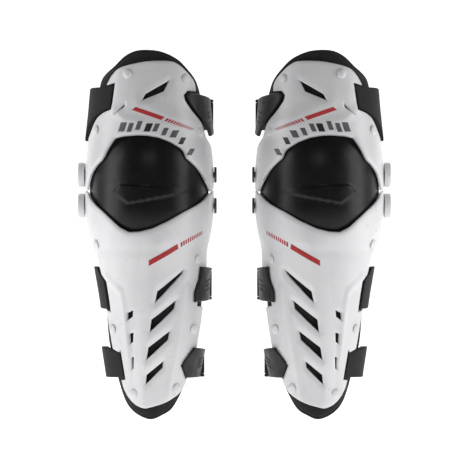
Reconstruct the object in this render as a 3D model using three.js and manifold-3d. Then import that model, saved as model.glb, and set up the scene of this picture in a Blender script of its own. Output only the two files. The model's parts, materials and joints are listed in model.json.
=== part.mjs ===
// A pair of hinged motocross knee and shin guards. Millimetres, +Z up, the wearer faces -Y.
// One guard is drawn about its own leg axis, with heights measured up from the lower end of its
// shin liner, and is then set in place for the right leg (-X) and mirrored for the left (+X).
// "Outer" is the side away from the other leg: low x on the guard as drawn.

import * as THREE from "three";
import { TessellateModifier } from "three/addons/modifiers/TessellateModifier.js";
import { mergeVertices } from "three/addons/utils/BufferGeometryUtils.js";
import Module from "manifold-3d";

// Placing
const LEG_SPACING = 234;
const KNEE_HEIGHT = 310;

// Knee joint: two pivots a side, joined by a link plate
const UPPER_PIVOT = 332;
const LOWER_PIVOT = 289.4;
const ARM_END = 20.5;
const LINK_END = 14;
const LINK_FROM = 79.6;
const LINK_TO = 81.2;
const EAR_FROM = 76.3;
const EAR_TO = 79.3;
const EAR_END = 24;
const PIN = 4;
const LINK_BORE = 4.3;
const ARM_BORE = 5.2;
const PIN_FLANGE = 7;
const PIN_FLANGE_FROM = 73;
const PIN_FLANGE_TO = 75.9;
const CAP_FROM = 89.1;
const OUTER_CAP = 17;
const OUTER_CAP_TO = 98;
const CAP_BEVEL = 1.6;
const INNER_CAP = 11;
const INNER_CAP_TO = 92.6;

// Layers, as distances out from the shell's outer face
const SHELL = [-3, 0];
const LINER = [-14, -6.6];
const STRAP = [-3.4, -0.4];
const HOOK = [1.3, 5.6];

// Knee cup: an ellipse across the knee, swept round the two pivots
const CUP_HALF_WIDTH = 82;
const CUP_FRONT = 88;
const CUP_WALL = 3;
const KNEE_PAD_DEPTH = [-12.5, -5.2];

// Fixings and buckles
const RIVET_HEAD = 6.5;
const RIVET_SHANK = 1.9;
const RIVET_BORE = 3.4;
const RIVET_TAIL = 4.6;
const RIVET_SIDES = 6;
const BAR = 2;
const LOOP_BORE = 2.5;
const LOOP = 4.2;
const CHEEK = 4.2;
const CHEEK_HEIGHT = 4;
const CHEEK_GAP = 0.6;
const BAR_RISE = 3.4;
const LOOP_START = 2.4; // degrees from the bar to the end of the flat webbing
const LOOP_RISE = 2.6;
const BLADE_TO_BAR = 1.6; // degrees from the bar to the blade's ends, inside the cheeks
const BLADE_TO_LOOP = 4.8; // degrees from the bar to the blade beside the loop
const RIVET_UNDER = -4.1;
const RIVET_INNER = -5.4;
const RIVET_SEAT = 0.5;
const RIVET_SHOULDER = 2.4;
const RIVET_TOP = 3.3;

// How finely the curved pieces are faceted
const ARC_PER_DEGREE = 1.45;
const ALONG_SCALE = 0.2;
const PIECE_EDGE = 38;
const CUP_EDGE = 36;
const STRAP_EDGE = 36;
const HOOK_EDGE = 30;
const ROUND_SIDES = 12;
const SMALL_SIDES = 8;

// Sections of the leg form at heights up the guard: the middle of the section across the leg,
// and how far the shell's outer face stands from it at the sides, in front and behind.
const SECTIONS = [
  { height: 0, middle: 4, side: 54, front: 60, back: 62 },
  { height: 50, middle: 5, side: 59, front: 63, back: 64 },
  { height: 100, middle: 6, side: 67, front: 67, back: 68 },
  { height: 150, middle: 6, side: 71, front: 72, back: 74 },
  { height: 200, middle: 3, side: 76, front: 78, back: 78 },
  { height: 229, middle: 1, side: 79, front: 84, back: 82 },
  { height: 256, middle: 0.5, side: 85, front: 89.5, back: 92 },
  { height: 283, middle: 0, side: 88.5, front: 92, back: 100 },
  { height: 310, middle: 0, side: 88.5, front: 93, back: 102 },
  { height: 332, middle: 0, side: 88.5, front: 91.5, back: 100 },
  { height: 352, middle: 0, side: 87.5, front: 88, back: 92 },
  { height: 383, middle: 0, side: 84, front: 80.5, back: 82 },
  { height: 420, middle: 0, side: 80, front: 75, back: 78 },
  { height: 455, middle: 0, side: 77, front: 71, back: 76 },
  { height: 500, middle: 0, side: 72, front: 66, back: 74 },
];

const wasm = await Module();
wasm.setup();

// ---- leg form ----

const radians = THREE.MathUtils.degToRad;
const degrees = THREE.MathUtils.radToDeg;

// The slope of one section value at station i, from its neighbours.
function sectionSlope(i, key) {
  const below = SECTIONS[Math.max(i - 1, 0)];
  const above = SECTIONS[Math.min(i + 1, SECTIONS.length - 1)];
  return (above[key] - below[key]) / (above.height - below.height);
}

// One section value at a height, as a smooth cubic through the stations.
function sectionValue(height, key) {
  const last = SECTIONS.length - 2;
  let i = 0;
  while (i < last && height > SECTIONS[i + 1].height) i += 1;
  const low = SECTIONS[i];
  const high = SECTIONS[i + 1];
  const span = high.height - low.height;
  const s = THREE.MathUtils.clamp((height - low.height) / span, 0, 1);
  const rise = s * s * (3 - 2 * s);
  return (
    low[key] * (1 - rise) +
    high[key] * rise +
    sectionSlope(i, key) * span * s * (1 - s) * (1 - s) -
    sectionSlope(i + 1, key) * span * s * s * (1 - s)
  );
}

// A point off the leg form. Turn is in degrees round the leg: 0 in front, 90 at the inner side.
function legPoint(turn, height, out) {
  const side = sectionValue(height, "side");
  const depth = sectionValue(height, Math.cos(radians(turn)) > 0 ? "front" : "back");
  const across = Math.sin(radians(turn));
  const ahead = Math.cos(radians(turn));
  const normal = Math.hypot(depth * across, side * ahead);
  return new THREE.Vector3(
    sectionValue(height, "middle") + side * across + (out * depth * across) / normal,
    -depth * ahead - (out * side * ahead) / normal,
    height,
  );
}

// The turn of the point seen from the front at x.
function turnAt(x, height, inset = 0) {
  const reach = sectionValue(height, "side") - inset;
  const share = (x - sectionValue(height, "middle")) / reach;
  return degrees(Math.asin(THREE.MathUtils.clamp(share, -1, 1)));
}

// Outline corners: one seen from the front, and one seen from the side at depth y.
const front = ([x, height]) => [turnAt(x, height), height];
const linerFront = ([x, height]) => [turnAt(x, height, -LINER[1]), height];
const flank = (side, y, height) => {
  const depth = sectionValue(height, y < 0 ? "front" : "back");
  return [side * degrees(Math.acos(THREE.MathUtils.clamp(-y / depth, -1, 1))), height];
};

// ---- solids ----

function toManifold(geometry) {
  const bare = new THREE.BufferGeometry();
  bare.setAttribute("position", geometry.getAttribute("position").clone());
  if (geometry.index) bare.setIndex(geometry.index.clone());
  const merged = mergeVertices(bare, 1e-3);
  return new wasm.Manifold(
    new wasm.Mesh({
      numProp: 3,
      vertProperties: new Float32Array(merged.attributes.position.array),
      triVerts: new Uint32Array(merged.index.array),
    }),
  );
}

function toGeometry(solid) {
  const mesh = solid.getMesh();
  const position = new THREE.BufferAttribute(new Float32Array(mesh.vertProperties), 3);
  return new THREE.BufferGeometry()
    .setAttribute("position", position)
    .setIndex(new THREE.BufferAttribute(new Uint32Array(mesh.triVerts), 1));
}

const join = (...pieces) => toGeometry(wasm.Manifold.union(pieces.map(toManifold)));

// A plate with the outline and holes given, faceted, then bent by place(u, v, level).
// Level runs from 0 on the plate's inner face to 1 on its outer face.
function bentPlate(outline, holes, unitU, unitV, edge, place) {
  const corner = ([u, v]) => new THREE.Vector2(u * unitU, v * unitV);
  const wound = (corners, clockwise) =>
    THREE.ShapeUtils.isClockWise(corners) === clockwise ? corners : corners.reverse();
  const shape = new THREE.Shape(wound(outline.map(corner), false));
  shape.holes = holes.map((hole) => new THREE.Path(wound(hole.map(corner), true)));
  const plate = new THREE.ExtrudeGeometry(shape, { depth: 1, bevelEnabled: false, steps: 1 });
  plate.deleteAttribute("uv");
  plate.deleteAttribute("normal");
  const fine = new TessellateModifier(edge, 20).modify(plate);
  const points = fine.getAttribute("position");
  const p = new THREE.Vector3();
  for (let i = 0; i < points.count; i += 1) {
    p.fromBufferAttribute(points, i);
    const placed = place(p.x / unitU, p.y / unitV, p.z);
    points.setXYZ(i, placed.x, placed.y, placed.z);
  }
  return mergeVertices(fine, 1e-3);
}

// A plate that follows the leg form between two distances out from it.
function legPlate(outline, holes, [inner, outer], edge = PIECE_EDGE, lift = () => 0) {
  return bentPlate(outline, holes, ARC_PER_DEGREE, ALONG_SCALE, edge, (turn, height, level) =>
    legPoint(turn, height, inner + (outer - inner) * level + lift(turn, height)),
  );
}

// A straight prism of a flat shape, standing on the height given.
function prism(shape, bottom, top, sides = ROUND_SIDES) {
  const options = { depth: top - bottom, bevelEnabled: false, curveSegments: sides / 2 };
  return new THREE.ExtrudeGeometry(shape, options).translate(0, 0, bottom);
}

function disc(x, y, radius) {
  return new THREE.Shape().absarc(x, y, radius, 0, 2 * Math.PI, false);
}

// A round hole on the leg form, as an outline.
function bore(turn, height, radius, sides = 5) {
  const side = sectionValue(height, "side");
  const depth = sectionValue(height, Math.cos(radians(turn)) > 0 ? "front" : "back");
  const run = Math.hypot(side * Math.cos(radians(turn)), depth * Math.sin(radians(turn)));
  return Array.from({ length: sides }, (_, i) => {
    const angle = (2 * Math.PI * i) / sides;
    return [turn + degrees((radius * Math.cos(angle)) / run), height + radius * Math.sin(angle)];
  });
}

// ---- hard shells ----

// The round end of a shell's hinge arm, from under the pivot to the arm's back edge, or above it.
function armEnd(side, pivot, up) {
  return [270, 297, 325, 352].map((angle) =>
    flank(
      side,
      ARM_END * Math.cos(radians(angle)),
      pivot + up * ARM_END * Math.sin(radians(angle)),
    ),
  );
}

const THIGH_TOP = [
  [-57.4, 452], [-50.7, 464], [-39.8, 474.4], [-12.5, 481.3], [7.1, 483.6], [32.4, 483.6],
  [43.1, 479], [52, 471.5], [60.8, 461.4], [64.2, 454.6], [65.6, 444.2],
];
const THIGH_INNER_RECESS = [
  [53.9, 444.2], [49, 438.3], [51, 430.6], [59.4, 418], [71.4, 401.2], [79, 382],
];
const THIGH_RIM = [
  [86.1, 308.6], [79.8, 322.7], [70.3, 337.7], [58.1, 349.2], [53.9, 352.5], [49.9, 362.2],
  [46.1, 366.1], [32.2, 374.4], [15.9, 380.5], [-0.4, 383.2], [-12.5, 383.7], [-31.7, 382.6],
  [-44.6, 379.7], [-53.4, 367.6], [-60.9, 354], [-63.2, 350.5], [-72.5, 341.8], [-80.6, 329.5],
  [-85.7, 310.4],
];
const THIGH_OUTER_NOTCH = [
  [-79.3, 390.7], [-71, 407], [-61.6, 414.5], [-49.5, 418.7], [-44.6, 455],
];
const THIGH_VENTS = [
  [[-7.6, 430], [-3, 438.7], [14.3, 448.5], [29.9, 457.6], [22.8, 442.8]],
  [[-44.6, 412.9], [-31, 426.5], [-32, 421.7]],
];
const THIGH_RIVETS = [[-27, 466.6], [51, 460.8], [-71, 391.5], [69.5, 389.5]];

function thighShell() {
  const outline = [
    ...THIGH_TOP.map(front),
    ...THIGH_INNER_RECESS.map(front),
    flank(1, -6, 371),
    flank(1, 12, 358),
    ...armEnd(1, UPPER_PIVOT, 1).reverse(),
    ...THIGH_RIM.map(front),
    ...armEnd(-1, UPPER_PIVOT, 1),
    flank(-1, 12, 366),
    flank(-1, -12, 382),
    ...THIGH_OUTER_NOTCH.map(front),
  ];
  const holes = [
    ...THIGH_VENTS.map((vent) => vent.map(front)),
    ...THIGH_RIVETS.map(([x, height]) => bore(turnAt(x, height), height, RIVET_BORE)),
    bore(90, UPPER_PIVOT, ARM_BORE, 8),
    bore(-90, UPPER_PIVOT, ARM_BORE, 8),
  ];
  return legPlate(outline, holes, SHELL);
}

const SHIN_RIM = [
  [-85.4, 307], [-82, 299.6], [-73.8, 290], [-63.2, 281.2], [-52, 271], [-38.5, 258.8],
  [-25.2, 252], [-9.9, 252.7], [7.1, 256.8], [29.5, 267], [50, 279.2], [67.6, 288.7],
  [78.5, 297], [85.1, 305.2],
];
const SHIN_INNER_EDGE = [
  [74, 184], [67.6, 168], [66.6, 152.7], [74.4, 150], [70.3, 120], [65.6, 94],
  [44.5, 72.5], [52, 49],
];
const SHIN_TOE = [
  [43.1, 34.5], [22.7, 22], [2.3, 16], [-4.6, 15], [-16.7, 19.4], [-26, 27.7], [-33, 39.8],
  [-36.9, 52],
];
const SHIN_OUTER_EDGE = [
  [-31, 53], [-37.8, 94], [-40.8, 90], [-48.6, 94], [-53.4, 120], [-58.3, 146.7],
  [-51.5, 144.8], [-54, 165], [-57.4, 185.8], [-64.3, 195], [-68, 209], [-71.5, 225],
];
const SHIN_VENTS = [
  [[50.5, 202.6], [48, 196.7], [10.2, 158.2], [13.3, 173.1]],
  [[39.6, 161.2], [37.1, 149.7], [3.1, 118.5], [5.2, 135]],
  [[30.9, 119.5], [28.6, 107.8], [-1.8, 80.5], [0.8, 97.1]],
  [[21.8, 78.5], [20.7, 69.8], [-2.7, 47.3], [-1.8, 60]],
  [[-28, 143.9], [-19.9, 147.8], [-20.7, 139], [-28, 133.6]],
  [[-25.2, 115.6], [-19.9, 117.5], [-20.3, 104.9], [-24.2, 101.9]],
  [[-22.6, 83.4], [-19.3, 84.3], [-19.9, 68.7], [-22.2, 67.2]],
];
const SHIN_RIVETS = [
  [-70.4, 236.6], [66.6, 216], [-48, 121.4], [61, 121.4], [-19.3, 34.5], [38.4, 41.5],
];

function shinShell() {
  const outline = [
    ...SHIN_RIM.map(front),
    ...armEnd(1, LOWER_PIVOT, -1),
    flank(1, 14, 264),
    flank(1, 8, 235),
    flank(1, -4, 208),
    ...SHIN_INNER_EDGE.map(front),
    ...SHIN_TOE.map(front),
    ...SHIN_OUTER_EDGE.map(front),
    flank(-1, -6, 240),
    flank(-1, 12, 262),
    ...armEnd(-1, LOWER_PIVOT, -1).reverse(),
  ];
  const holes = [
    ...SHIN_VENTS.map((vent) => vent.map(front)),
    ...SHIN_RIVETS.map(([x, height]) => bore(turnAt(x, height), height, RIVET_BORE)),
    bore(90, LOWER_PIVOT, ARM_BORE, 8),
    bore(-90, LOWER_PIVOT, ARM_BORE, 8),
  ];
  return legPlate(outline, holes, SHELL);
}

// ---- knee cup and link plates ----

// A point of the cup's form. Reach is the height a tape laid down the cup's middle would show.
function cupPoint(lean, reach, out) {
  const across = Math.sin(radians(lean));
  const ahead = Math.cos(radians(lean));
  const normal = Math.hypot(CUP_FRONT * across, CUP_HALF_WIDTH * ahead);
  const x = CUP_HALF_WIDTH * across + (out * CUP_FRONT * across) / normal;
  const radius = CUP_FRONT * ahead + (out * CUP_HALF_WIDTH * ahead) / normal;
  const pivot = THREE.MathUtils.clamp(reach, LOWER_PIVOT, UPPER_PIVOT);
  const angle = (reach - pivot) / CUP_FRONT;
  return new THREE.Vector3(x, -radius * Math.cos(angle), pivot + radius * Math.sin(angle));
}

function cupPlate(outline, [inner, outer], edge) {
  const corners = outline.map(([x, reach]) => [degrees(Math.asin(x / CUP_HALF_WIDTH)), reach]);
  return bentPlate(corners, [], ARC_PER_DEGREE, 0.8, edge, (lean, reach, level) =>
    cupPoint(lean, reach, inner + (outer - inner) * level),
  );
}

// An upright plate round both pivots, bored for the pins, between two distances from the middle.
function pivotPlate(side, from, to, end, boreRadius) {
  const shape = new THREE.Shape()
    .absarc(0, UPPER_PIVOT, end, 0, Math.PI, false)
    .absarc(0, LOWER_PIVOT, end, Math.PI, 2 * Math.PI, false);
  shape.holes = [UPPER_PIVOT, LOWER_PIVOT].map((height) => disc(0, height, boreRadius));
  const options = { depth: to - from, bevelEnabled: false, curveSegments: ROUND_SIDES / 2 };
  const plate = new THREE.ExtrudeGeometry(shape, options);
  return plate
    .rotateX(Math.PI / 2)
    .rotateZ(Math.PI / 2)
    .translate(side > 0 ? from : -to, 0, 0);
}

const CUP_OUTLINE = [
  [-78.2, 352], [-70, 372], [-60, 387], [-47, 404], [-20, 405], [20, 399], [45, 391],
  [60, 379], [70, 366], [78.2, 350], [79.2, 310], [78.2, 272], [62, 266], [42, 255], [12, 241],
  [-25, 237], [-45, 250], [-62, 262], [-78.2, 272], [-79.2, 310],
];

function kneeCup() {
  const dome = cupPlate(CUP_OUTLINE, [-CUP_WALL, 0], CUP_EDGE);
  const ears = [-1, 1].map((side) => pivotPlate(side, EAR_FROM, EAR_TO, EAR_END, LINK_BORE));
  return join(dome, ...ears);
}

const KNEE_PAD_OUTLINE = [
  [-60, 300], [-60, 352], [-44, 382], [-12, 390], [22, 386], [46, 370], [60, 346], [60, 300],
  [52, 276], [20, 258], [-20, 251], [-48, 266],
];

// ---- pivot caps: head, shaft and inner flange in one turned piece ----

function pivotCap(side, height, head, headTo) {
  const profile = [
    [0, PIN_FLANGE_FROM], [PIN_FLANGE, PIN_FLANGE_FROM], [PIN_FLANGE, PIN_FLANGE_TO],
    [PIN, PIN_FLANGE_TO], [PIN, CAP_FROM], [head - CAP_BEVEL, CAP_FROM], [head, CAP_FROM + CAP_BEVEL],
    [head, headTo - CAP_BEVEL], [head - CAP_BEVEL, headTo], [0, headTo],
  ];
  const turned = new THREE.LatheGeometry(
    profile.map(([radius, x]) => new THREE.Vector2(radius, x)),
    ROUND_SIDES,
  );
  return turned.rotateZ(side > 0 ? -Math.PI / 2 : Math.PI / 2).translate(0, 0, height);
}

// ---- rivets ----

function rivet([x, height]) {
  const turn = turnAt(x, height);
  const profile = [
    [0, RIVET_INNER], [RIVET_TAIL, RIVET_INNER], [RIVET_TAIL, RIVET_UNDER],
    [RIVET_SHANK, RIVET_UNDER], [RIVET_SHANK, RIVET_SEAT], [RIVET_HEAD, RIVET_SEAT],
    [RIVET_HEAD * 0.75, RIVET_SHOULDER], [0, RIVET_TOP],
  ];
  const turned = new THREE.LatheGeometry(
    profile.map(([radius, out]) => new THREE.Vector2(radius, out)),
    RIVET_SIDES,
  );
  const centre = legPoint(turn, height, 0);
  const along = legPoint(turn, height + 1, 0).sub(legPoint(turn, height - 1, 0));
  const around = legPoint(turn + 1, height, 0).sub(legPoint(turn - 1, height, 0));
  const normal = around.cross(along).normalize();
  const aim = new THREE.Quaternion().setFromUnitVectors(new THREE.Vector3(0, 1, 0), normal);
  return turned.applyQuaternion(aim).translate(centre.x, centre.y, centre.z);
}

// ---- liners ----

const THIGH_LINER = [
  [-69, 452], [-65.7, 461], [-48, 476], [-31.7, 490], [-16.7, 497], [1.2, 498.4], [20, 495],
  [40.4, 486], [54, 473.7], [65, 460], [70, 447],
];
const SHIN_LINER_TOE = [
  [50, 45], [43, 30], [32.4, 14], [20, 5.8], [3, 0], [-18, 8.6], [-32, 23.8], [-43, 53],
];

function thighLiner() {
  const outline = [
    ...THIGH_LINER.map(linerFront),
    flank(1, 10, 436),
    flank(1, 16, 392),
    flank(1, -12, 384),
    front([60, 392]),
    front([36, 402]),
    front([-36, 402]),
    front([-60, 392]),
    flank(-1, -12, 386),
    flank(-1, 16, 394),
    flank(-1, 10, 436),
  ];
  return legPlate(outline, [], LINER);
}

function shinLiner() {
  const outline = [
    front([-52, 232]),
    front([-20, 226]),
    front([20, 226]),
    front([52, 232]),
    flank(1, -12, 236),
    flank(1, 14, 224),
    flank(1, 14, 150),
    flank(1, -6, 92),
    ...SHIN_LINER_TOE.map(linerFront),
    flank(-1, -6, 92),
    flank(-1, 14, 150),
    flank(-1, 14, 224),
    flank(-1, -12, 236),
  ];
  return legPlate(outline, [], LINER);
}

// ---- straps and hooks ----

// Each strap leaves its notch on the outer side, runs behind the leg and ends in a loop round
// the bar of a hook on the inner side. hinge is the turn of that bar round the leg.
const STRAPS = {
  thigh: {
    notch: [[-81, 393.5], [-72.6, 409.5], [-62.6, 417], [-52, 421], [-47.6, 451], [-60, 450]],
    flare: [378, 449],
    band: [390, 436],
    hook: [[53.4, 441.6], [51.4, 437.5], [53.6, 431.4], [62, 419], [74, 402], [80.5, 384]],
    hinge: 94,
    bulge: 5,
  },
  calf_upper: {
    notch: [[-54.6, 148], [-57, 165.5], [-60.4, 188], [-67, 197.6], [-69.4, 205]],
    flare: [150, 206],
    band: [160, 204],
    hook: [[69, 206], [67.6, 190], [62, 172], [61, 158]],
    hinge: 93,
    bulge: 3,
  },
  calf_lower: {
    notch: [[-33.4, 56], [-39.6, 88.4], [-48, 91.6]],
    flare: [54, 96],
    band: [54, 92],
    hook: [[60, 96], [46.6, 76.5], [45.8, 71], [50.4, 55]],
    hinge: 90,
    bulge: 6,
  },
};

const barCentre = ({ hinge, band }) =>
  legPoint(hinge, (band[0] + band[1]) / 2, BAR_RISE);

// How far a strap stands out from its resting layer as it rounds the outer side.
function strapLift(bulge) {
  return (turn) => {
    const away = Math.min(Math.abs(turn + 84) / 42, 1);
    return bulge * (1 - away * away * (3 - 2 * away));
  };
}

function strap(spec) {
  const { notch, flare, band, hinge, bulge } = spec;
  const centre = barCentre(spec);
  const inset = CHEEK_HEIGHT + CHEEK_GAP;
  const low = band[0] + inset;
  const high = band[1] - inset;
  const end = -360 + hinge + LOOP_START;
  const outline = [
    ...notch.map(front),
    [-88, flare[1]],
    [-112, high + 4],
    [-150, high],
    [end, high],
    [end, low],
    [-150, low],
    [-112, low - 4],
    [-88, flare[0]],
  ];
  const lift = strapLift(bulge);
  const webbing = legPlate(outline, [], STRAP, STRAP_EDGE, (turn) =>
    lift(turn) + (turn < -180 ? ((-180 - turn) / (180 - hinge)) * LOOP_RISE : 0),
  );
  const ring = disc(0, 0, LOOP);
  ring.holes = [disc(0, 0, LOOP_BORE)];
  const loop = prism(ring, low, high, SMALL_SIDES).translate(centre.x, centre.y, 0);
  return join(webbing, loop);
}

function hook(spec) {
  const { hook: edge, band, hinge } = spec;
  const [low, high] = band;
  const centre = barCentre(spec);
  const outline = [
    ...edge.map(front),
    [hinge - BLADE_TO_BAR, low],
    [hinge - BLADE_TO_BAR, low + CHEEK_HEIGHT],
    [hinge - BLADE_TO_LOOP, low + CHEEK_HEIGHT],
    [hinge - BLADE_TO_LOOP, high - CHEEK_HEIGHT],
    [hinge - BLADE_TO_BAR, high - CHEEK_HEIGHT],
    [hinge - BLADE_TO_BAR, high],
  ];
  const plate = legPlate(outline, [], HOOK, HOOK_EDGE);
  const at = (solid) => solid.translate(centre.x, centre.y, 0);
  const bar = at(prism(disc(0, 0, BAR), low, high, SMALL_SIDES));
  const lower = at(prism(disc(0, 0, CHEEK), low, low + CHEEK_HEIGHT, SMALL_SIDES));
  const upper = at(prism(disc(0, 0, CHEEK), high - CHEEK_HEIGHT, high, SMALL_SIDES));
  return join(plate, bar, lower, upper);
}

// ---- materials ----

const material = (color, roughness) => new THREE.MeshStandardMaterial({ color, roughness });
const SHELL_WHITE = material(0xe6e6e8, 0.45);
const CUP_BLACK = material(0x101012, 0.35);
const LINER_BLACK = material(0x1b191b, 0.95);
const STRAP_BLACK = material(0x1b191b, 0.9);
const HOOK_BLACK = material(0x18181a, 0.5);
const LINK_GREY = material(0x3a3a3d, 0.45);

// ---- one guard ----

function guard(suffix) {
  const group = new THREE.Group();
  const add = (name, geometry, surface) => {
    const mesh = new THREE.Mesh(geometry, surface);
    mesh.name = `${name}_${suffix}`;
    group.add(mesh);
  };
  add("thigh_shell", thighShell(), SHELL_WHITE);
  add("shin_shell", shinShell(), SHELL_WHITE);
  add("knee_cup", kneeCup(), CUP_BLACK);
  add("knee_pad", cupPlate(KNEE_PAD_OUTLINE, KNEE_PAD_DEPTH, CUP_EDGE), LINER_BLACK);
  add("thigh_liner", thighLiner(), LINER_BLACK);
  add("shin_liner", shinLiner(), LINER_BLACK);
  add("link_outer", pivotPlate(-1, LINK_FROM, LINK_TO, LINK_END, LINK_BORE), LINK_GREY);
  add("link_inner", pivotPlate(1, LINK_FROM, LINK_TO, LINK_END, LINK_BORE), LINK_GREY);
  for (const [place, height] of [["upper", UPPER_PIVOT], ["lower", LOWER_PIVOT]]) {
    add(`cap_outer_${place}`, pivotCap(-1, height, OUTER_CAP, OUTER_CAP_TO), SHELL_WHITE);
    add(`cap_inner_${place}`, pivotCap(1, height, INNER_CAP, INNER_CAP_TO), LINK_GREY);
  }
  for (const [name, spec] of Object.entries(STRAPS)) {
    add(`strap_${name}`, strap(spec), STRAP_BLACK);
    add(`hook_${name}`, hook(spec), HOOK_BLACK);
  }
  THIGH_RIVETS.forEach((at, i) => add(`rivet_thigh_${i + 1}`, rivet(at), SHELL_WHITE));
  SHIN_RIVETS.forEach((at, i) => add(`rivet_shin_${i + 1}`, rivet(at), SHELL_WHITE));
  return group;
}

const right = guard("right");
right.position.set(-LEG_SPACING / 2, 0, -KNEE_HEIGHT);

const left = guard("left");
left.scale.x = -1;
left.position.set(LEG_SPACING / 2, 0, -KNEE_HEIGHT);

const pair = new THREE.Group();
pair.add(right, left);

export default pair;
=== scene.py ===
"""The looks of a pair of hinged knee and shin guards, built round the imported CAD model.

One guard is drawn in millimetres about its own leg axis, with heights measured up from the lower
end of its shin liner, then set in place for the right leg and mirrored for the left.
"""

import json
import math

import bmesh
import bpy
import numpy as np
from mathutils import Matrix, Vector
from mathutils.geometry import delaunay_2d_cdt


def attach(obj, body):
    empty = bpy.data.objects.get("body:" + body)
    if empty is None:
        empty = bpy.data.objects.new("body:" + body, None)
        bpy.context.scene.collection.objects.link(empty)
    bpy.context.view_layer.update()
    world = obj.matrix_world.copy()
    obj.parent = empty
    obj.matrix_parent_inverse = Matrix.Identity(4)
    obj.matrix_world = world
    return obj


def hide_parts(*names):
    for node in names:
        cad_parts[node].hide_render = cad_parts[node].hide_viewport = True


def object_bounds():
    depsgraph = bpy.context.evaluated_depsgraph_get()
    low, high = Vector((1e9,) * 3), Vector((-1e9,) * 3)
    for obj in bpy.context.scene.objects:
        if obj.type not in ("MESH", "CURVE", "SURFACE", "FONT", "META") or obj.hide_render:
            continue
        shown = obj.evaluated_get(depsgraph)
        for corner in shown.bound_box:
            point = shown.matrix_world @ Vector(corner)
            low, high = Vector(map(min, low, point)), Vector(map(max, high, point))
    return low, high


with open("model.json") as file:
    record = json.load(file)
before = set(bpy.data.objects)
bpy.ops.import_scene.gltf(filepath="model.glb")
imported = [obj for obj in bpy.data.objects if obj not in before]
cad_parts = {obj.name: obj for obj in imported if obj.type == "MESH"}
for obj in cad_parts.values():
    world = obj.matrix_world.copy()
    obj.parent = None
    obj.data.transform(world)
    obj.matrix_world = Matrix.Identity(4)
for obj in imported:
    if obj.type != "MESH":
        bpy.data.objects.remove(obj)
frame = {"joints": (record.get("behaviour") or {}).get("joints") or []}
CAD_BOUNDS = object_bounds()
JOINTS = {joint["name"]: joint for joint in frame["joints"]}
MM = 0.001

# Where the guards stand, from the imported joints
UPPER_PIVOT = 332.0
LOWER_PIVOT = 289.4
LEG_X = -JOINTS["upper_pivot_right"]["pos_m"][0] / MM
KNEE_HEIGHT = UPPER_PIVOT - JOINTS["upper_pivot_right"]["pos_m"][2] / MM

# Sections of the leg form: height, then the section's middle, side, front and back distances
SECTIONS = np.array([
    (0, 4, 54, 60, 62), (50, 5, 59, 63, 64), (100, 6, 67, 67, 68), (150, 6, 71, 72, 74),
    (200, 3, 76, 78, 78), (229, 1, 79, 84, 82), (256, 0.5, 85, 89.5, 92),
    (283, 0, 88.5, 92, 100), (310, 0, 88.5, 93, 102), (332, 0, 88.5, 91.5, 100),
    (352, 0, 87.5, 88, 92), (383, 0, 84, 80.5, 82), (420, 0, 80, 75, 78),
    (455, 0, 77, 71, 76), (500, 0, 72, 66, 74),
], dtype=float)
MIDDLE, SIDE, FRONT, BACK = 1, 2, 3, 4

# Layers, as distances out from the shell's outer face
SHELL = (-3.0, 0.0)
LINER = (-13.6, -7.0)
STRAP = (-3.2, -0.6)
HOOK = (1.4, 5.6)
KNEE_PAD = (-12.3, -5.6)
PRINT = (0.02, 0.22)

CUP_HALF_WIDTH = 82.0
CUP_FRONT = 88.0
CUP_WALL = (-3.0, 0.0)
ARM_END = 20.5

# A flat outline has millimetres along both axes: degrees round the leg are scaled by the first
ARC_PER_DEGREE = 1.45
LEG_UNIT = (ARC_PER_DEGREE, 1.0)

# The pivot plates, as distances from the guard's middle plane, and their round ends and bores
EAR = (76.3, 79.3)
EAR_END = 24
LINK = (79.6, 81.2)
LINK_END = 14
PIN_BORE = 4.3

# Straps and hooks
CHEEK = 4.0
CHEEK_GAP = 0.6
CHEEK_RADIUS = 4.2
BAR_RADIUS = 2.0
LOOP_RADIUS = 4.1
LOOP_BORE = 2.5
LOOP_START = 2.4  # degrees from the bar to the end of the flat webbing
LOOP_RISE = 2.6
BULGE_TURN = -84  # where a strap stands furthest off the leg
BULGE_REACH = 42
BLADE_TO_BAR = 1.6  # degrees from the bar to the blade's ends
BLADE_TO_LOOP = 5.2 / ARC_PER_DEGREE + 1.2  # degrees from the bar to the blade beside the loop

# Turned profiles start and end this far from the axis, so that their end faces stay simple
ON_AXIS = 0.01

SHARP_EDGE = math.radians(38)
SHELL_GRID = 2.1
STITCH_SIDES = 5

# Liner pads, in metres
PAD_VOXEL = 0.0042
PAD_PRESSURE = 4
PAD_FRAMES = 20
PAD_PUFF = 0.0017
SEAM_HOLD = 0.006
SEAM_WIDTH = 0.004
SEAM_DEPTH = 0.0016


# ---- leg form ----

def section(height, key):
    """One section value at each height, as a smooth cubic through the stations."""
    stations = SECTIONS[:, 0]
    values = SECTIONS[:, key]
    last = len(stations) - 1
    slopes = np.array([
        (values[min(i + 1, last)] - values[max(i - 1, 0)])
        / (stations[min(i + 1, last)] - stations[max(i - 1, 0)])
        for i in range(last + 1)
    ])
    i = np.clip(np.searchsorted(stations, height, side="left") - 1, 0, last - 1)
    span = stations[i + 1] - stations[i]
    s = np.clip((height - stations[i]) / span, 0, 1)
    rise = s * s * (3 - 2 * s)
    return (
        values[i] * (1 - rise) + values[i + 1] * rise
        + slopes[i] * span * s * (1 - s) ** 2
        - slopes[i + 1] * span * s * s * (1 - s)
    )


def leg_points(turn, height, out):
    """Points off the leg form; turn is in degrees round the leg, 0 in front."""
    turn, height, out = np.broadcast_arrays(*(np.asarray(v, float) for v in (turn, height, out)))
    across = np.sin(np.radians(turn))
    ahead = np.cos(np.radians(turn))
    side = section(height, SIDE)
    depth = np.where(ahead > 0, section(height, FRONT), section(height, BACK))
    normal = np.hypot(depth * across, side * ahead)
    return np.stack([
        section(height, MIDDLE) + side * across + out * depth * across / normal,
        -depth * ahead - out * side * ahead / normal,
        height,
    ], axis=-1)


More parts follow.
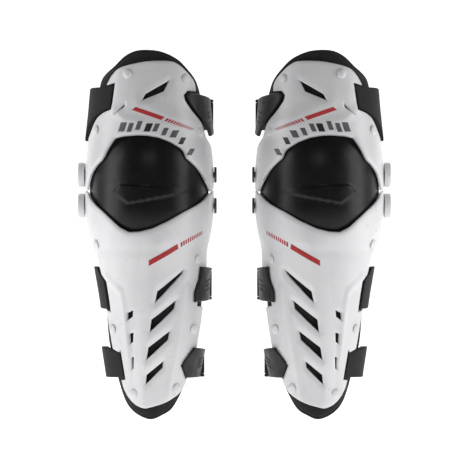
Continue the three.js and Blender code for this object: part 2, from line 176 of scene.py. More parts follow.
def front(x, height, inset=0.0):
    """An outline corner as seen from the front, as (turn, height)."""
    share = (x - section(height, MIDDLE)) / (section(height, SIDE) - inset)
    return (math.degrees(math.asin(max(-1, min(1, share)))), height)


def fronts(corners, inset=0.0):
    """Several outline corners as seen from the front."""
    return [front(x, height, inset) for x, height in corners]


def flank(side, y, height):
    """An outline corner as seen from the side, at depth y."""
    depth = section(height, FRONT if y < 0 else BACK)
    return (side * math.degrees(math.acos(max(-1, min(1, -y / depth)))), height)


def arm_end(side, pivot, up):
    """The round end of a hinge arm, from under or over the pivot to the arm's back edge."""
    return [
        flank(side, ARM_END * math.cos(a), pivot + up * ARM_END * math.sin(a))
        for a in np.radians(np.linspace(270, 352, 9))
    ]


def cup_points(lean, reach, out):
    """Points off the knee cup: an ellipse across the knee, swept round the two pivots."""
    lean, reach, out = np.broadcast_arrays(*(np.asarray(v, float) for v in (lean, reach, out)))
    across = np.sin(np.radians(lean))
    ahead = np.cos(np.radians(lean))
    normal = np.hypot(CUP_FRONT * across, CUP_HALF_WIDTH * ahead)
    radius = CUP_FRONT * ahead + out * CUP_HALF_WIDTH * ahead / normal
    pivot = np.clip(reach, LOWER_PIVOT, UPPER_PIVOT)
    angle = (reach - pivot) / CUP_FRONT
    return np.stack([
        CUP_HALF_WIDTH * across + out * CUP_FRONT * across / normal,
        -radius * np.cos(angle),
        pivot + radius * np.sin(angle),
    ], axis=-1)


# ---- flat outlines ----

def smooth(corners, step=2.5, sharp=32):
    """A closed outline drawn smoothly through its corners, kept sharp where it turns hard."""
    p = np.asarray(corners, float)
    n = len(p)
    ahead = np.roll(p, -1, axis=0) - p
    behind = np.roll(ahead, 1, axis=0)
    turned = np.degrees(np.abs(np.angle(
        (ahead[:, 0] + 1j * ahead[:, 1]) / (behind[:, 0] + 1j * behind[:, 1])
    )))
    hard = turned > sharp
    drawn = []
    for i in range(n):
        a, b = p[i], p[(i + 1) % n]
        run = b - a
        from_slope = run if hard[i] else (b - p[i - 1]) / 2
        to_slope = run if hard[(i + 1) % n] else (p[(i + 2) % n] - a) / 2
        length = np.linalg.norm(run)
        limit = lambda v: v * min(1, length / max(np.linalg.norm(v), 1e-9))
        for s in np.linspace(0, 1, max(2, int(length / step) + 1))[:-1]:
            drawn.append(
                a * (2 * s**3 - 3 * s**2 + 1) + limit(from_slope) * (s**3 - 2 * s**2 + s)
                + b * (-2 * s**3 + 3 * s**2) + limit(to_slope) * (s**3 - s**2)
            )
    return np.array(drawn)


def smooth_open(line, step=2.0):
    """A line through points, resampled evenly."""
    run = np.concatenate([[0], np.cumsum(np.linalg.norm(np.diff(line, axis=0), axis=1))])
    at = np.linspace(0, run[-1], int(run[-1] / step) + 2)
    return np.stack([np.interp(at, run, line[:, 0]), np.interp(at, run, line[:, 1])], axis=1)


def inside(points, loop):
    """Which points lie within a closed outline."""
    x, y = points[:, 0, None], points[:, 1, None]
    x1, y1 = loop[:, 0], loop[:, 1]
    x2, y2 = np.roll(x1, -1), np.roll(y1, -1)
    rise = np.where(y2 == y1, 1e-12, y2 - y1)
    hit = ((y1 > y) != (y2 > y)) & (x < (x2 - x1) * (y - y1) / rise + x1)
    return hit.sum(axis=1) % 2 == 1


def gap_to(points, line, closed=True):
    """How far each point is from an outline."""
    start = line if closed else line[:-1]
    end = np.roll(line, -1, axis=0) if closed else line[1:]
    run = end - start
    square = np.maximum((run**2).sum(axis=1), 1e-12)
    nearest = np.full(len(points), 1e9)
    for first in range(0, len(points), 3000):
        part = points[first:first + 3000, None, :]
        s = np.clip(((part - start) * run).sum(axis=2) / square, 0, 1)
        away = np.linalg.norm(part - start - s[..., None] * run, axis=2)
        nearest[first:first + 3000] = away.min(axis=1)
    return nearest


def rings_in(loop, depths, outward):
    """Copies of an outline moved square to itself, into the material."""
    along = np.roll(loop, -1, axis=0) - np.roll(loop, 1, axis=0)
    square = np.stack([-along[:, 1], along[:, 0]], axis=1)
    square /= np.maximum(np.linalg.norm(square, axis=1, keepdims=True), 1e-9)
    area = (loop[:, 0] * np.roll(loop[:, 1], -1) - np.roll(loop[:, 0], -1) * loop[:, 1]).sum()
    sign = (1 if area > 0 else -1) * (-1 if outward else 1)
    return [(depth, loop + sign * depth * square) for depth in depths]


# ---- meshes ----

def in_place(points):
    """Guard millimetres as metres in the shared frame, for the right leg."""
    return (points - (LEG_X, 0, KNEE_HEIGHT)) * MM


def new_object(name, verts, faces):
    """A mesh object from points in guard millimetres, set in place for the right leg."""
    verts = in_place(np.asarray(verts, float))
    mesh = bpy.data.meshes.new(name)
    mesh.from_pydata(verts.tolist(), [], [list(map(int, f)) for f in faces])
    mesh.update()
    fixed = bmesh.new()
    fixed.from_mesh(mesh)
    bmesh.ops.recalc_face_normals(fixed, faces=fixed.faces)
    fixed.to_mesh(mesh)
    fixed.free()
    mesh.shade_smooth()
    mesh.set_sharp_from_angle(angle=SHARP_EDGE)
    piece = bpy.data.objects.new(name, mesh)
    bpy.context.scene.collection.objects.link(piece)
    return piece


def nearest_gap(points, loops):
    """How far each point is from the nearest of several outlines."""
    return np.min([gap_to(points, loop) for loop in loops], axis=0)


def in_material(points, loops):
    """Which points lie in the first outline and out of the others, which are its holes."""
    kept = inside(points, loops[0])
    for hole in loops[1:]:
        kept &= ~inside(points, hole)
    return kept


def fill_points(loops, grid, rounding):
    """Points that fill an outline: a staggered grid, and rows that follow each edge."""
    low, high = loops[0].min(axis=0), loops[0].max(axis=0)
    across, along = np.meshgrid(
        np.arange(low[0], high[0], grid), np.arange(low[1], high[1], grid * 0.9)
    )
    across[1::2] += grid / 2
    points = np.stack([across.ravel(), along.ravel()], axis=1)
    points = points[nearest_gap(points, loops) > max(grid * 0.55, rounding * 1.3)]
    for k, loop in enumerate(loops):
        for depth, ring in rings_in(loop, (rounding * 0.35, rounding), outward=k > 0):
            points = np.vstack([points, ring[nearest_gap(ring, loops) > depth * 0.85]])
    return points[in_material(points, loops)]


def triangulated(loops, grid, rounding):
    """A flat mesh of an outline with holes: its points and triangles."""
    edges = []
    start = 0
    for loop in loops:
        edges += [(start + i, start + (i + 1) % len(loop)) for i in range(len(loop))]
        start += len(loop)
    points = np.vstack([*loops, fill_points(loops, grid, rounding)])
    drawn = delaunay_2d_cdt([Vector(p) for p in points], edges, [], 0, 1e-6)
    points = np.array([tuple(v) for v in drawn[0]])
    tris = np.array([f for f in drawn[2] if len(f) == 3])
    return points, tris[in_material(points[tris].mean(axis=1), loops)]


def border_edges(tris):
    """The edges that only one triangle has."""
    seen = {}
    for a, b, c in tris:
        for edge in ((a, b), (b, c), (c, a)):
            key = (min(edge), max(edge))
            seen[key] = None if key in seen else edge
    return list(filter(None, seen.values()))


def plate(name, outline, holes, layer, place=leg_points, relief=None, grid=2.6, rounding=1.1,
          unit=LEG_UNIT, step=2.5):
    """A bent plate with softened outer edges; relief(turn, height) raises or sinks its face."""
    loops = [smooth(np.asarray(outline, float) * unit, step)]
    loops += [smooth(np.asarray(hole, float) * unit, min(step, 1.6)) for hole in holes]
    points, tris = triangulated(loops, grid, rounding)
    turn, height = points[:, 0] / unit[0], points[:, 1] / unit[1]
    drop = np.clip(1 - nearest_gap(points, loops) / rounding, 0, 1)
    outer = layer[1] - rounding * 0.8 * (1 - np.sqrt(1 - drop**2 * 0.98))
    inner = np.full(len(points), float(layer[0]))
    if relief is not None:
        shift = relief(turn, height)
        outer = outer + shift
        inner = inner + np.minimum(shift, 0)
    count = len(points)
    verts = np.vstack([place(turn, height, outer), place(turn, height, inner)])
    walls = [(b, a, a + count, b + count) for a, b in border_edges(tris)]
    faces = [tuple(t) for t in tris] + [tuple(t[::-1] + count) for t in tris] + walls
    return new_object(name, verts, faces)


def lathe(name, profile, origin, axis, sides=40):
    """A turned piece: profile is (radius, distance along the axis) from end to end."""
    axis = Vector(axis).normalized()
    first = axis.orthogonal().normalized()
    second = axis.cross(first)
    verts = []
    for radius, along in profile:
        for k in range(sides):
            a = 2 * math.pi * k / sides
            away = first * math.cos(a) + second * math.sin(a)
            verts.append(tuple(Vector(origin) + axis * along + away * radius))
    faces = []
    for row in range(len(profile) - 1):
        for k in range(sides):
            a = row * sides + k
            b = row * sides + (k + 1) % sides
            faces.append((a, b, b + sides, a + sides))
    faces.append(tuple(range(sides)))
    faces.append(tuple(range((len(profile) - 1) * sides, len(profile) * sides)))
    return new_object(name, verts, faces)


def tube(name, path, radius, sides=8, closed=True):
    """A round cord along a path of points."""
    path = np.asarray(path, float)
    ahead = np.roll(path, -1, axis=0) - np.roll(path, 1, axis=0)
    if not closed:
        ahead[0], ahead[-1] = path[1] - path[0], path[-1] - path[-2]
    ahead /= np.linalg.norm(ahead, axis=1, keepdims=True)
    level = np.cross(ahead, (0.13, 0.21, 0.97))
    level /= np.linalg.norm(level, axis=1, keepdims=True)
    square = np.cross(ahead, level)
    turns = 2 * np.pi * np.arange(sides) / sides
    ring = level[:, None] * np.cos(turns)[:, None] + square[:, None] * np.sin(turns)[:, None]
    verts = (path[:, None] + radius * ring).reshape(-1, 3)
    rows = len(path)
    faces = []
    for row in range(rows if closed else rows - 1):
        for k in range(sides):
            a, b = row * sides + k, row * sides + (k + 1) % sides
            c, d = ((row + 1) % rows) * sides + (k + 1) % sides, ((row + 1) % rows) * sides + k
            faces.append((a, b, c, d))
    if not closed:
        faces += [tuple(range(sides)), tuple(range((rows - 1) * sides, rows * sides))]
    return new_object(name, verts, faces)


def join_pieces(name, pieces):
    """Several meshes as one object."""
    with bpy.context.temp_override(
        active_object=pieces[0], selected_editable_objects=pieces, selected_objects=pieces
    ):
        bpy.ops.object.join()
    pieces[0].name = name
    return pieces[0]


# ---- materials ----

def node_tools(name):
    """A new material with its nodes, links and shader, and the coordinates to paint it by."""
    material = bpy.data.materials.new(name)
    material.use_nodes = True
    nodes, links = material.node_tree.nodes, material.node_tree.links
    shader = nodes["Principled BSDF"]
    where = nodes.new("ShaderNodeTexCoord").outputs["Object"]
    return material, nodes, links, shader, where


def noise(nodes, links, where, scale, detail=4.0):
    """Uneven cloudy values from 0 to 1."""
    made = nodes.new("ShaderNodeTexNoise")
    made.inputs["Scale"].default_value = scale
    made.inputs["Detail"].default_value = detail
    links.new(where, made.inputs["Vector"])
    return made.outputs["Fac"]


def spread(nodes, links, value, low, high):
    """Noise stretched between two values."""
    made = nodes.new("ShaderNodeMapRange")
    made.inputs["From Min"].default_value = 0.3
    made.inputs["From Max"].default_value = 0.7
    made.inputs["To Min"].default_value = low
    made.inputs["To Max"].default_value = high
    links.new(value, made.inputs["Value"])
    return made.outputs["Result"]


def tint(nodes, links, value, dark, light):
    """Noise turned into a colour between two."""
    ramp = nodes.new("ShaderNodeValToRGB")
    ramp.color_ramp.elements[0].position = 0.3
    ramp.color_ramp.elements[1].position = 0.7
    ramp.color_ramp.elements[0].color = (*dark, 1)
    ramp.color_ramp.elements[1].color = (*light, 1)
    links.new(value, ramp.inputs["Fac"])
    return ramp.outputs["Color"]


def bump(nodes, links, height, strength, distance, under=None):
    """A bumped surface, over another one if that is given."""
    made = nodes.new("ShaderNodeBump")
    made.inputs["Strength"].default_value = strength
    made.inputs["Distance"].default_value = distance
    links.new(height, made.inputs["Height"])
    if under is not None:
        links.new(under, made.inputs["Normal"])
    return made.outputs["Normal"]


def wave(nodes, links, where, direction, scale, distortion=0.0):
    """Even bands across one axis."""
    made = nodes.new("ShaderNodeTexWave")
    made.bands_direction = direction
    made.inputs["Scale"].default_value = scale
    made.inputs["Distortion"].default_value = distortion
    links.new(where, made.inputs["Vector"])
    return made.outputs["Fac"]


def moulded(name, dark, light, rough, grain=0.05, coat=0.0, gloss=0.5):
    """A moulded plastic: fine grain, slow changes of sheen and faint handling marks."""
    material, nodes, links, shader, where = node_tools(name)
    broad = noise(nodes, links, where, 14)
    fine = noise(nodes, links, where, 1500, 2)
    marks = noise(nodes, links, where, 90, 8)
    links.new(tint(nodes, links, broad, dark, light), shader.inputs["Base Color"])
    links.new(spread(nodes, links, marks, *rough), shader.inputs["Roughness"])
    first = bump(nodes, links, fine, grain, 0.0002)
    second = bump(nodes, links, broad, 0.08, 0.001, first)
    links.new(second, shader.inputs["Normal"])
    shader.inputs["Specular IOR Level"].default_value = gloss
    shader.inputs["Coat Weight"].default_value = coat
    shader.inputs["Coat Roughness"].default_value = 0.25
    return material


def woven(name, dark, light, pitch, rough=(0.85, 0.98)):
    """A woven cloth: two crossing sets of threads, with fuzz and uneven dye."""
    material, nodes, links, shader, where = node_tools(name)
    up = wave(nodes, links, where, "Z", pitch, 0.4)
    over = wave(nodes, links, where, "X", pitch, 0.4)
    product = nodes.new("ShaderNodeMath")
    product.operation = "MULTIPLY"
    links.new(up, product.inputs[0])
    links.new(over, product.inputs[1])
    fuzz = noise(nodes, links, where, 2500, 3)
    dye = noise(nodes, links, where, 45, 6)
    links.new(tint(nodes, links, dye, dark, light), shader.inputs["Base Color"])
    links.new(spread(nodes, links, fuzz, *rough), shader.inputs["Roughness"])
    threads = bump(nodes, links, product.outputs[0], 0.5, 0.0005)
    links.new(bump(nodes, links, fuzz, 0.3, 0.0003, threads), shader.inputs["Normal"])
    shader.inputs["Sheen Weight"].default_value = 0.08
    return material


WHITE = moulded("shell_white", (0.70, 0.70, 0.715), (0.78, 0.78, 0.79), (0.26, 0.42), 0.04, 0.1)
LIP_GREY = moulded("lip_grey", (0.40, 0.40, 0.42), (0.48, 0.48, 0.5), (0.35, 0.5))
CUP_BLACK = moulded(
    "cup_black", (0.002, 0.002, 0.0025), (0.005, 0.005, 0.006), (0.3, 0.4), 0.04, gloss=0.3
)
HOOK_BLACK = moulded(
    "hook_black", (0.005, 0.005, 0.0055), (0.010, 0.010, 0.011), (0.4, 0.6), 0.12
)
LINK_GREY = moulded("link_grey", (0.028, 0.028, 0.03), (0.05, 0.05, 0.055), (0.38, 0.55), 0.1)
RED = moulded("stripe_red", (0.36, 0.006, 0.010), (0.44, 0.010, 0.015), (0.4, 0.55), 0.04)
PALE_RED = moulded(
    "stripe_pale_red", (0.44, 0.030, 0.036), (0.52, 0.045, 0.05), (0.3, 0.45), 0.04
)
PRINT_GREY = moulded("print_grey", (0.085, 0.085, 0.095), (0.12, 0.12, 0.13), (0.3, 0.45), 0.04)
PRINT_BLACK = moulded("print_black", (0.010, 0.010, 0.012), (0.016, 0.016, 0.018), (0.3, 0.45))
LINER_CLOTH = woven("liner_cloth", (0.008, 0.0075, 0.008), (0.018, 0.016, 0.018), 420)
BINDING = woven("binding_tape", (0.010, 0.009, 0.010), (0.02, 0.018, 0.02), 700)
WEBBING = woven(
    "strap_webbing", (0.004, 0.0038, 0.004), (0.009, 0.0085, 0.009), 260, (0.8, 0.95)
)
THREAD = woven("stitch_thread", (0.045, 0.045, 0.047), (0.07, 0.07, 0.072), 1500)


# ---- the guard's pieces ----

right_pieces = []


def show(piece, surface, body, stands_for=(), slot=None):
    """Gives a right-hand piece its material, and lists it to be mirrored and declared later."""
    piece.data.materials.clear()
    piece.data.materials.append(surface)
    right_pieces.append({"piece": piece, "body": body, "nodes": list(stands_for), "slot": slot})
    return piece


THIGH_TOP = [
    (-57.4, 452), (-50.7, 464), (-39.8, 474.4), (-12.5, 481.3), (7.1, 483.6), (32.4, 483.6),
    (43.1, 479), (52, 471.5), (60.8, 461.4), (64.2, 454.6), (65.6, 444.2),
]
THIGH_INNER_RECESS = [
    (53.9, 444.2), (49, 438.3), (51, 430.6), (59.4, 418), (71.4, 401.2), (79, 382),
]
THIGH_RIM = [
    (86.1, 308.6), (79.8, 322.7), (70.3, 337.7), (58.1, 349.2), (53.9, 352.5), (49.9, 362.2),
    (46.1, 366.1), (32.2, 374.4), (15.9, 380.5), (-0.4, 383.2), (-12.5, 383.7), (-31.7, 382.6),
    (-44.6, 379.7), (-53.4, 367.6), (-60.9, 354), (-63.2, 350.5), (-72.5, 341.8),
    (-80.6, 329.5), (-85.7, 310.4),
]
THIGH_OUTER_NOTCH = [
    (-79.3, 390.7), (-71, 407), (-61.6, 414.5), (-49.5, 418.7), (-44.6, 455),
]
THIGH_VENTS = [
    [(-7.6, 430), (-3, 438.7), (14.3, 448.5), (29.9, 457.6), (22.8, 442.8)],
    [(-44.6, 412.9), (-31, 426.5), (-32, 421.7)],
]
THIGH_RIVETS = [(-27, 466.6), (51, 460.8), (-71, 391.5), (69.5, 389.5)]
SHIN_RIM = [
    (-85.4, 307), (-82, 299.6), (-73.8, 290), (-63.2, 281.2), (-52, 271), (-38.5, 258.8),
    (-25.2, 252), (-9.9, 252.7), (7.1, 256.8), (29.5, 267), (50, 279.2), (67.6, 288.7),
    (78.5, 297), (85.1, 305.2),
]
SHIN_INNER_EDGE = [
    (74, 184), (67.6, 168), (66.6, 152.7), (74.4, 150), (70.3, 120), (65.6, 94),
    (44.5, 72.5), (52, 49),
]
SHIN_TOE = [
    (43.1, 34.5), (22.7, 22), (2.3, 16), (-4.6, 15), (-16.7, 19.4), (-26, 27.7),
    (-33, 39.8), (-36.9, 52),
]
SHIN_OUTER_EDGE = [
    (-31, 53), (-37.8, 94), (-40.8, 90), (-48.6, 94), (-53.4, 120), (-58.3, 146.7),
    (-51.5, 144.8), (-54, 165), (-57.4, 185.8), (-64.3, 195), (-68, 209), (-71.5, 225),
]
SHIN_VENTS = [
    [(50.5, 202.6), (48, 196.7), (10.2, 158.2), (13.3, 173.1)],
    [(39.6, 161.2), (37.1, 149.7), (3.1, 118.5), (5.2, 135)],
    [(30.9, 119.5), (28.6, 107.8), (-1.8, 80.5), (0.8, 97.1)],
    [(21.8, 78.5), (20.7, 69.8), (-2.7, 47.3), (-1.8, 60)],
    [(-28, 143.9), (-19.9, 147.8), (-20.7, 139), (-28, 133.6)],
    [(-25.2, 115.6), (-19.9, 117.5), (-20.3, 104.9), (-24.2, 101.9)],
    [(-22.6, 83.4), (-19.3, 84.3), (-19.9, 68.7), (-22.2, 67.2)],
]
SHIN_RIVETS = [
    (-70.4, 236.6), (66.6, 216), (-48, 121.4), (61, 121.4), (-19.3, 34.5), (38.4, 41.5),
]


def flat(corners):
    """Corners seen from the front, laid flat in millimetres round and along the leg."""
    return np.array(fronts(corners)) * LEG_UNIT


def crest(points, line, width):
    """1 on a line, falling in a straight slope to 0 at the width given."""
    return np.clip(1 - gap_to(points, flat(line), closed=False) / width, 0, 1)


def shell_relief(rim, vents, crests):
    """The moulded form of a shell: a bevelled rim, dished vents, and creases."""
    def relief(turn, height):
        points = np.stack([turn * ARC_PER_DEGREE, height], axis=1)
        shift = -1.3 * crest(points, rim, 4.5)
        for vent, (bevel, depth) in vents:
            shift -= depth * np.clip(1 - gap_to(points, flat(vent)) / bevel, 0, 1)
        for line, width, rise in crests:
            shift += rise * crest(points, line, width)
        return np.clip(shift, -2.0, 3.4)
    return relief


THIGH_RELIEF = shell_relief(
    THIGH_RIM,
    [(THIGH_VENTS[0], (7, 1.5)), (THIGH_VENTS[1], (4, 1.0))],
    [
        ([(-10, 428), (30, 408), (70, 398)], 16, 2.2),
        ([(-49, 420), (-30, 404), (20, 397), (74, 386)], 9, 1.2),
        (THIGH_TOP, 3.0, -0.9),
    ],
)
SHIN_RELIEF = shell_relief(
    SHIN_RIM,
    [(vent, (7, 1.9)) for vent in SHIN_VENTS[:4]] + [(vent, (3, 0.9)) for vent in SHIN_VENTS[4:]],
    [
        ([(16, 236), (9, 174), (-0.7, 108), (-3.7, 51), (-4, 20)], 24, 3.4),
        ([(52, 176), (46, 139), (36, 80), (26.5, 30)], 11, 1.8),
        ([(-55.4, 191.6), (-36.9, 172), (-32, 145), (-26, 84)], 8, 1.6),
        ([(-70, 229), (0, 226), (72, 236)], 10, -0.7),
    ],
)


def rivet_bores(rivets):
    """Small round holes under the rivets, as outlines."""
    bores = []
    for x, z in rivets:
        turn, _ = front(x, z)
        bores.append([
            (turn + 2.0 * math.cos(a) / ARC_PER_DEGREE, z + 2.0 * math.sin(a))
            for a in np.linspace(0, 2 * math.pi, 9)[:-1]
        ])
    return bores


def shells():
    """The two white shells, bored for their rivets."""
    thigh = (
        fronts(THIGH_TOP) + fronts(THIGH_INNER_RECESS)
        + [flank(1, -6, 371), flank(1, 12, 358)] + arm_end(1, UPPER_PIVOT, 1)[::-1]
        + fronts(THIGH_RIM) + arm_end(-1, UPPER_PIVOT, 1)
        + [flank(-1, 12, 366), flank(-1, -12, 382)] + fronts(THIGH_OUTER_NOTCH)
    )
    shin = (
        fronts(SHIN_RIM) + arm_end(1, LOWER_PIVOT, -1)
        + [flank(1, 14, 264), flank(1, 8, 235), flank(1, -4, 208)] + fronts(SHIN_INNER_EDGE)
        + fronts(SHIN_TOE) + fronts(SHIN_OUTER_EDGE)
        + [flank(-1, -6, 240), flank(-1, 12, 262)] + arm_end(-1, LOWER_PIVOT, -1)[::-1]
    )
    for body, outline, vents, fixings, relief in (
        ("thigh", thigh, THIGH_VENTS, THIGH_RIVETS, THIGH_RELIEF),
        ("shin", shin, SHIN_VENTS, SHIN_RIVETS, SHIN_RELIEF),
    ):
        holes = [fronts(vent) for vent in vents] + rivet_bores(fixings)
        skin = plate(f"{body}_shell_skin", outline, holes, SHELL, relief=relief, grid=SHELL_GRID)
        show(skin, WHITE, body, [f"{body}_shell"], "shell")


def rim_trim(name, rim, relief, body):
    """The grey bevelled lip that lines a shell's edge at the cup opening."""
    path = smooth_open(flat(rim))
    turn, height = path[:, 0] / ARC_PER_DEGREE, path[:, 1]
    path = leg_points(turn, height, relief(turn, height) - 0.9)
    show(tube(name, path, 0.95, closed=False), LIP_GREY, body, slot="shell")


CUP_OUTLINE = [
    (-78.2, 352), (-70, 372), (-60, 387), (-47, 404), (-20, 405), (20, 399), (45, 391),
    (60, 379), (70, 366), (78.2, 350), (79.2, 310), (78.2, 272), (62, 266), (42, 255),
    (12, 241), (-25, 237), (-45, 250), (-62, 262), (-78.2, 272), (-79.2, 310),
]
KNEE_PAD_OUTLINE = [
    (-60, 300), (-60, 352), (-44, 382), (-12, 390), (22, 386), (46, 370), (60, 346), (60, 300),
    (52, 276), (20, 258), (-20, 251), (-48, 266),
]
BLADE = [(-46.6, 305.6), (-37.8, 317.3), (16, 313.5), (62, 309), (28.6, 300.7), (-25, 290.4)]


def lean_of(corners):
    """Outline corners on the cup, as (lean, reach), from how they stand across it."""
    return [(math.degrees(math.asin(x / CUP_HALF_WIDTH)), reach) for x, reach in corners]


def cup_relief(turn, height):
    """The raised blade across the cup, fading towards the inner side."""
    points = np.stack([turn * ARC_PER_DEGREE, height], axis=1)
    blade = np.array(lean_of(BLADE)) * LEG_UNIT
    within = inside(points, blade)
    edge = np.clip(gap_to(points, blade) / 1.6, 0, 1)
    fade = np.clip((60 - turn) / 60, 0, 1)
    return np.where(within, 2.4 * edge * fade, 0)


def pivot_plate(name, side, layer, end):
    """An upright plate round both pivots, with its pin holes."""
    steps = np.linspace(0, math.pi, 25)
    loop = [(end * math.cos(a), UPPER_PIVOT + end * math.sin(a)) for a in steps]
    loop += [(-end * math.cos(a), LOWER_PIVOT - end * math.sin(a)) for a in steps]
    turns = np.linspace(0, 2 * math.pi, 25)[:-1]
    holes = [
        [(PIN_BORE * math.cos(a), pivot + PIN_BORE * math.sin(a)) for a in turns]
        for pivot in (UPPER_PIVOT, LOWER_PIVOT)
    ]
    place = lambda y, z, out: np.stack([side * out, y, z], axis=-1)
    return plate(name, loop, holes, layer, place, unit=(1, 1), rounding=0.5)


def knee_cup():
    """The black cup with its two bored ears, and the link plates outside them."""
    dome = plate("cup_dome", lean_of(CUP_OUTLINE), [], CUP_WALL, cup_points, cup_relief, grid=2.2)
    ears = [pivot_plate("cup_ear", side, EAR, EAR_END) for side in (-1, 1)]
    show(join_pieces("knee_cup_skin", [dome, *ears]), CUP_BLACK, "knee", ["knee_cup"], "cup")
    for side, where in ((-1, "outer"), (1, "inner")):
        link = pivot_plate(f"link_{where}_skin", side, LINK, LINK_END)
        show(link, LINK_GREY, "knee", [f"link_{where}"], "link")


def pivot_caps():
    """Turned caps with their pins: large white discs outside, low dark bolts inside."""
    pin = [(ON_AXIS, 73), (7, 73), (7, 75.9), (4, 75.9), (4, 89.1)]
    disc = pin + [
        (15.8, 89.1), (16.7, 89.5), (17, 90.4), (17, 96.2), (16.7, 97.2), (15.9, 97.85),
        (14.8, 98), (13.4, 97.9), (12.9, 97.3), (12.6, 97.2), (ON_AXIS, 97.2),
    ]
    bolt = pin + [
        (10.4, 89.1), (11, 89.7), (11, 91.4), (10.5, 92.3), (9.6, 92.6), (5.2, 92.6),
        (4.8, 91.2), (ON_AXIS, 91.2),
    ]
    for place, height in (("upper", UPPER_PIVOT), ("lower", LOWER_PIVOT)):
        at = (0, 0, height)
        cap = lathe(f"cap_outer_{place}_skin", disc, at, (-1, 0, 0), 56)
        show(cap, WHITE, "knee", [f"cap_outer_{place}"], "cap")
        cap = lathe(f"cap_inner_{place}_skin", bolt, at, (1, 0, 0), 40)
        show(cap, LINK_GREY, "knee", [f"cap_inner_{place}"], "bolt")


def rivets():
    """Domed rivets, each square to the shell."""
    profile = [
        (ON_AXIS, -5.4), (4.6, -5.4), (4.6, -4.1), (1.9, -4.1), (1.9, 0.2), (6.1, 0.2),
    ]
    profile += [
        (6.5 * math.cos(a), 0.7 + 2.5 * math.sin(a)) for a in np.linspace(0, 1.5, 9)
    ]
    for body, places in (("thigh", THIGH_RIVETS), ("shin", SHIN_RIVETS)):
        for number, (x, z) in enumerate(places, 1):
            turn, _ = front(x, z)
            along = leg_points(turn, z + 1, 0) - leg_points(turn, z - 1, 0)
            around = leg_points(turn + 1, z, 0) - leg_points(turn - 1, z, 0)
            name = f"rivet_{body}_{number}"
            turned = lathe(
                f"{name}_skin", profile, leg_points(turn, z, 0), np.cross(around, along), 32
            )
            show(turned, WHITE, body, [name], "rivet")


STRAPS = {
    "thigh": {
        "notch": [(-81, 393.5), (-72.6, 409.5), (-62.6, 417), (-52, 421), (-47.6, 451),
                  (-60, 450)],
        "flare": (378, 449), "band": (390, 436), "hinge": 94, "bulge": 5, "body": "thigh",
        "hook": [(53.4, 441.6), (51.4, 437.5), (53.6, 431.4), (62, 419), (74, 402),
                 (80.5, 384)],
    },
    "calf_upper": {
        "notch": [(-54.6, 148), (-57, 165.5), (-60.4, 188), (-67, 197.6), (-69.4, 205)],
        "flare": (150, 206), "band": (160, 204), "hinge": 93, "bulge": 3, "body": "shin",
        "hook": [(69, 206), (67.6, 190), (62, 172), (61, 158)],
    },
    "calf_lower": {
        "notch": [(-33.4, 56), (-39.6, 88.4), (-48, 91.6)],
        "flare": (54, 96), "band": (54, 92), "hinge": 90, "bulge": 6, "body": "shin",
        "hook": [(60, 96), (46.6, 76.5), (45.8, 71), (50.4, 55)],
    },
}


def bar_of(name):
    """A hook's bar, from its packed joint, in guard millimetres."""
    x, y, _ = JOINTS[f"{name}_hook_right"]["pos_m"]
    return np.array([x / MM + LEG_X, y / MM])


def upright(name, centre, outer, inner, low, high, sides=36):
    """An upright round bar, or a tube if it has an inner radius."""
    soft = 0.4
    wall = [(outer - soft, low), (outer, low + soft), (outer, high - soft), (outer - soft, high)]
    if inner:
        profile = [*wall, (inner, high), (inner, low), wall[0]]
    else:
        profile = [(ON_AXIS, low), *wall, (ON_AXIS, high)]
    return lathe(name, profile, (*centre, 0), (0, 0, 1), sides)


def strap_lift(spec):
    """How a strap stands off the leg form: a bulge at the outer side, and a rise to its hook."""
    def lift(turn, height):
        away = np.clip(np.abs(turn - BULGE_TURN) / BULGE_REACH, 0, 1)
        bulge = spec["bulge"] * (1 - away * away * (3 - 2 * away))
        return bulge + np.clip((-180 - turn) / (180 - spec["hinge"]), 0, 1) * LOOP_RISE
    return lift


def stitching(name, rows_at, start, body, lift):
    """Rows of short stitches round a strap, at the heights given."""
    stitches = []
    for height in rows_at:
        for turn in np.arange(start, -116, 2.6):
            dash = np.array([turn, turn + 1.5])
            path = leg_points(dash, height, STRAP[1] + 0.12 + lift(dash, height))
            stitches.append(tube("stitch", path, 0.32, STITCH_SIDES, closed=False))
    show(join_pieces(name, stitches), THREAD, body, slot="webbing")


def strap(name, spec):
    """A webbing strap with a loop round its hook's bar, and its stitching."""
    low = spec["band"][0] + CHEEK + CHEEK_GAP
    high = spec["band"][1] - CHEEK - CHEEK_GAP
    end = spec["hinge"] - 360 + LOOP_START
    lift = strap_lift(spec)
    outline = fronts(spec["notch"]) + [
        (-88, spec["flare"][1]), (-112, high + 4), (-150, high), (end, high), (end, low),
        (-150, low), (-112, low - 4), (-88, spec["flare"][0]),
    ]
    band = plate(
        f"strap_{name}_band", outline, [], STRAP, relief=lift, grid=3.2, rounding=0.9, step=4
    )
    loop = upright(f"strap_{name}_loop", bar_of(name), LOOP_RADIUS, LOOP_BORE, low, high)
    skin = join_pieces(f"strap_{name}_skin", [band, loop])
    show(skin, WEBBING, spec["body"], [f"strap_{name}"], "webbing")
    stitching(f"strap_{name}_stitching", (low + 3, high - 3), end + 6, spec["body"], lift)


